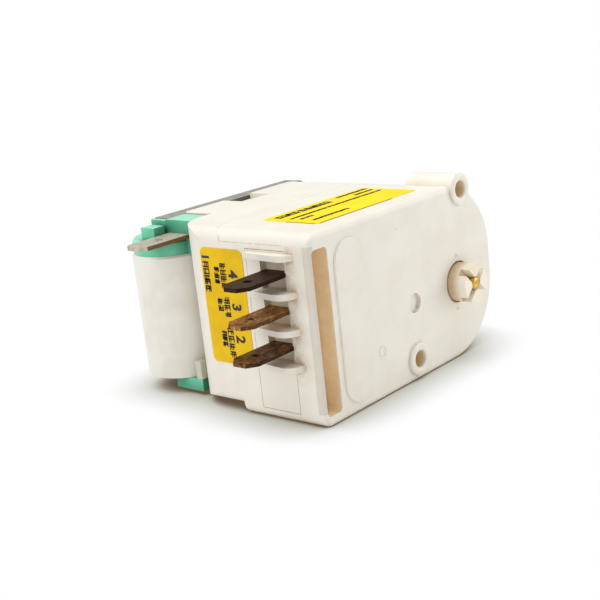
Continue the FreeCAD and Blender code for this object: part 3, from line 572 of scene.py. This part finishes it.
def print_digit(text, along, up, size):
    """A plain terminal number, flat on the side label."""
    origin, right, above, out = label_frame("side")
    curve = bpy.data.curves.new("number_" + text, "FONT")
    curve.body = text
    curve.size = size * MM
    curve.align_x = "CENTER"
    curve.align_y = "CENTER"
    curve.offset = 0.12 * MM
    curve.resolution_u = 3
    letter = bpy.data.objects.new("letter", curve)
    bpy.context.collection.objects.link(letter)
    bpy.context.view_layer.update()
    data = bpy.data.meshes.new_from_object(letter.evaluated_get(bpy.context.evaluated_depsgraph_get()))
    bpy.data.objects.remove(letter)
    turn = Matrix((right, above, out)).transposed().to_4x4()
    centre = origin + right * along * MM + above * up * MM + out * INK_LIFT
    data.transform(Matrix.Translation(centre) @ turn)
    data.name = "number_" + text
    show("number_" + text, data, materials["ink"], "housing")


# Number, its place down the label, then start and length of its column of signs and of its mark
NUMBER_GROUPS = [
    ("4", 5.05, 3.0, 4.4, 3.9, 2.8),
    ("3", 11.8, 9.9, 3.9, 10.4, 2.4),
    ("2", 18.5, 16.4, 5.2, 17.2, 2.8),
]


def print_side_label():
    """Each terminal's number with two columns of signs behind it, and the coil terminal's own column."""
    place = label_frame("side")
    for text, down, signs_at, signs_long, mark_at, mark_long in NUMBER_GROUPS:
        print_digit(text, down, 8.35, 3.3)
        mesh = bmesh.new()
        print_line(mesh, place, signs_at, 5.85, signs_long, 1.6)
        print_line(mesh, place, mark_at, 4.05, mark_long, 1.35, weight=0.26)
        finish_print(mesh, "side_print_" + text)
    print_digit("1", 1.95, 1.25, 2.7)
    mesh = bmesh.new()
    print_line(mesh, place, 2.9, 1.2, 3.1, 1.6)
    print_line(mesh, place, 6.5, 1.2, 2.8, 1.5, weight=0.26)
    finish_print(mesh, "side_print_1")


# Start, height on the label, length, letter height and stroke weight of each line, in millimetres
TOP_LINES = [
    (1.9, 11.9, 16.2, 1.9, 0.24),
    (1.9, 8.4, 30.0, 0.9, 0.26),
    (22.4, 13.0, 10.2, 1.0, 0.26),
    (25.7, 10.8, 6.2, 0.9, 0.26),
    (2.2, 6.2, 4.0, 0.9, 0.26),
    (2.3, 3.0, 10.4, 1.0, 0.26),
]


def print_top_label():
    """Lines of generic print: a bold heading, thin lines and a short block at the right."""
    place = label_frame("top")
    mesh = bmesh.new()
    for start, up, length, tall, weight in TOP_LINES:
        print_line(mesh, place, start, up, length, tall, weight)
    finish_print(mesh, "top_print")


# Small pieces that the solids leave out
def turned(name, x, z, profile, slot_name, turns=32):
    """A closed ring about an axis along Y. The profile's points are radius and depth, in millimetres."""
    mesh = bmesh.new()
    loops = []
    for radius, depth in profile:
        ring = []
        for step in range(turns):
            turn = 2 * math.pi * step / turns
            ring.append(mesh.verts.new(at(x + radius * math.cos(turn), depth, z + radius * math.sin(turn))))
        loops.append(ring)
    for inner, outer in zip(loops, loops[1:] + loops[:1]):
        for step in range(turns):
            following = (step + 1) % turns
            mesh.faces.new((inner[step], inner[following], outer[following], outer[step]))
    bmesh.ops.recalc_face_normals(mesh, faces=mesh.faces)
    publish(mesh, name, slot_name, smooth=True)


def mould_ring(name, x, z, radius):
    """A faint raised ejector mark on the cover's front face."""
    width = 0.22
    rise = 0.1
    sunk = 0.05
    profile = [(radius - width, sunk), (radius - width * 0.7, -rise), (radius - width * 0.3, -rise),
               (radius, sunk)]
    turned(name, x, z, profile, "housing", turns=20)


def hole_lip(name, x, z):
    """The rounded bead round a screw hole, on top of its flat boss."""
    inner, outer = 1.87, 3.5
    middle = (inner + outer) / 2
    half = (outer - inner) / 2
    sunk = 0.04
    rise = 0.34
    steps = 8
    turns = [math.pi * step / steps for step in range(steps + 1)]
    profile = [(middle - half * math.cos(turn), -BOSS_RISE + sunk - rise * math.sin(turn)) for turn in turns]
    turned(name, x, z, profile, "housing", turns=48)


def axle_tip():
    """The brass axle's crowned end, seen in the shaft's mouth."""
    profile = [(0.02, -2.9), (1.3, -2.9), (1.3, -4.3), (1.05, -4.5), (0.02, -4.6)]
    turned("axle_tip", *SHAFT, profile, "bright_brass")


def add_block(mesh, low, high):
    """A closed box between two corners of the frame."""
    shape = Matrix.Translation((low + high) / 2) @ Matrix.Diagonal((*(high - low), 1))
    bmesh.ops.create_cube(mesh, size=1.0, matrix=shape)


def former_end():
    """The green head's end wall, which wraps the left end of the core bar."""
    bar_low, bar_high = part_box("core_bar")
    head_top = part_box("bobbin")[1][2]
    low = Vector((bar_low[0] - 1.05 * MM, bar_low[1] - 0.1 * MM, head_top - 3.9 * MM))
    high = Vector((bar_low[0] - 0.06 * MM, bar_high[1] + 0.3 * MM, head_top - 0.1 * MM))
    mesh = bmesh.new()
    add_block(mesh, low, high)
    bmesh.ops.bevel(mesh, geom=list(mesh.edges), offset=0.3 * MM, segments=3, profile=0.5, affect="EDGES")
    publish(mesh, "former_end", "green_plastic", smooth=True)


def label_edge_shadow():
    """A painted shadow: the brown line under the lifted film along the top label's front and left edges."""
    low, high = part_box("top_label")
    mesh = bmesh.new()
    width = 0.28 * MM
    tall = 0.07 * MM
    start = 0.6 * MM
    under = 0.05 * MM
    top = low[2] + tall
    add_block(mesh, Vector((low[0] + start, low[1] - width, low[2])),
              Vector((high[0] - 9 * MM, low[1] + under, top)))
    add_block(mesh, Vector((low[0] - width * 0.7, low[1] + start, low[2])),
              Vector((low[0] + under, low[1] + 8 * MM, top)))
    publish(mesh, "label_edge_shadow", "painted_label_shadow")


# Camera, floor and light
def place_camera():
    """The camera stands where the photograph was taken from."""
    spot = at(-151.5, -132.6, 80.3)
    forward = Vector((0.718, 0.645, -0.261)).normalized()
    up = Vector((0.266, 0.092, 0.96))
    right = forward.cross(up).normalized()
    up = right.cross(forward).normalized()
    data = bpy.data.cameras.new("camera")
    data.sensor_width = SENSOR
    data.lens = SENSOR * FOCAL_PIXELS / PHOTO_PIXELS
    data.shift_x = 0.0009
    data.shift_y = 0.0048
    data.clip_start = 0.01
    camera = bpy.data.objects.new("camera", data)
    turn = Matrix((right, up, -forward)).transposed().to_4x4()
    camera.matrix_world = Matrix.Translation(spot) @ turn
    bpy.context.collection.objects.link(camera)
    bpy.context.scene.camera = camera


def seen_by(tree, first, second):
    """1 for either of two kinds of ray, 0 for the others."""
    path = tree.nodes.new("ShaderNodeLightPath")
    seen = tree.nodes.new("ShaderNodeMath")
    seen.operation = "MAXIMUM"
    tree.links.new(path.outputs[first], seen.inputs[0])
    tree.links.new(path.outputs[second], seen.inputs[1])
    return seen.outputs[0]


def floor_paper():
    """White paper, plain white to the camera and in reflections save for the part's contact shadow."""
    material = bpy.data.materials.new("floor_paper")
    material.use_nodes = True
    tree = material.node_tree
    lit = tree.nodes["Principled BSDF"]
    lit.inputs["Base Color"].default_value = (0.92, 0.92, 0.92, 1)
    lit.inputs["Roughness"].default_value = 0.9
    near = tree.nodes.new("ShaderNodeAmbientOcclusion")
    near.samples = 16
    near.inputs["Distance"].default_value = 14 * MM
    shadow = tree.nodes.new("ShaderNodeValToRGB")
    shadow.color_ramp.elements[0].color = linear(98, 82, 62)
    shadow.color_ramp.elements[0].position = 0.2
    shadow.color_ramp.elements[1].color = (1, 1, 1, 1)
    shadow.color_ramp.elements[1].position = 0.93
    halfway = shadow.color_ramp.elements.new(0.47)
    halfway.color = linear(192, 190, 178)
    tree.links.new(near.outputs["AO"], shadow.inputs["Fac"])
    glow = tree.nodes.new("ShaderNodeEmission")
    tree.links.new(shadow.outputs["Color"], glow.inputs["Color"])
    mix = tree.nodes.new("ShaderNodeMixShader")
    tree.links.new(seen_by(tree, "Is Camera Ray", "Is Glossy Ray"), mix.inputs["Fac"])
    tree.links.new(lit.outputs["BSDF"], mix.inputs[1])
    tree.links.new(glow.outputs["Emission"], mix.inputs[2])
    tree.links.new(mix.outputs["Shader"], tree.nodes["Material Output"].inputs["Surface"])
    return material


def make_floor():
    """A large sheet of paper under the part."""
    mesh = bmesh.new()
    half = 3.0
    level = cad_box[0][2]
    signs = ((-1, -1), (1, -1), (1, 1), (-1, 1))
    mesh.faces.new([mesh.verts.new((x * half, y * half, level)) for x, y in signs])
    data = bpy.data.meshes.new("floor")
    mesh.to_mesh(data)
    mesh.free()
    floor = bpy.data.objects.new("floor", data)
    bpy.context.collection.objects.link(floor)
    data.materials.append(floor_paper())


def area_light(name, spot, target, width, power):
    """A round soft light at a spot, turned to its target."""
    data = bpy.data.lights.new(name, "AREA")
    data.shape = "DISK"
    data.size = width
    data.energy = power
    light = bpy.data.objects.new(name, data)
    light.location = spot
    light.rotation_euler = (Vector(target) - Vector(spot)).to_track_quat("-Z", "Y").to_euler()
    bpy.context.collection.objects.link(light)


def make_light():
    """Soft light from above, weak fills from the left and the front right, and an even surround."""
    centre = at(28, 22, 18)
    area_light("key", centre + Vector((0.0, 0.05, 0.5)), centre, 0.45, 1.75)
    area_light("left_fill", centre + Vector((-0.55, 0.1, 0.25)), centre, 0.5, 0.9)
    area_light("right_fill", centre + Vector((0.32, -0.26, 0.1)), centre, 0.3, 0.52)
    world = bpy.data.worlds.new("studio")
    bpy.context.scene.world = world
    world.use_nodes = True
    tree = world.node_tree
    surround = tree.nodes["Background"]
    surround.inputs["Color"].default_value = (1, 1, 1, 1)
    surround.inputs["Strength"].default_value = 0.5
    backdrop = tree.nodes.new("ShaderNodeBackground")
    backdrop.inputs["Color"].default_value = (1, 1, 1, 1)
    backdrop.inputs["Strength"].default_value = 1.0
    mix = tree.nodes.new("ShaderNodeMixShader")
    tree.links.new(seen_by(tree, "Is Camera Ray", "Is Transmission Ray"), mix.inputs["Fac"])
    tree.links.new(surround.outputs["Background"], mix.inputs[1])
    tree.links.new(backdrop.outputs["Background"], mix.inputs[2])
    tree.links.new(mix.outputs["Shader"], tree.nodes["World Output"].inputs["Surface"])


place_camera()
make_floor()
make_light()
bpy.context.scene.view_settings.view_transform = "Standard"
dress_nodes()
print_side_label()
print_top_label()
for count, mark in enumerate(EJECTOR_MARKS, start=1):
    mould_ring(f"ejector_mark_{count}", *mark)
for side, hole in SCREW_HOLES.items():
    hole_lip(f"{side}_hole_lip", *hole)
axle_tip()
former_end()
label_edge_shadow()
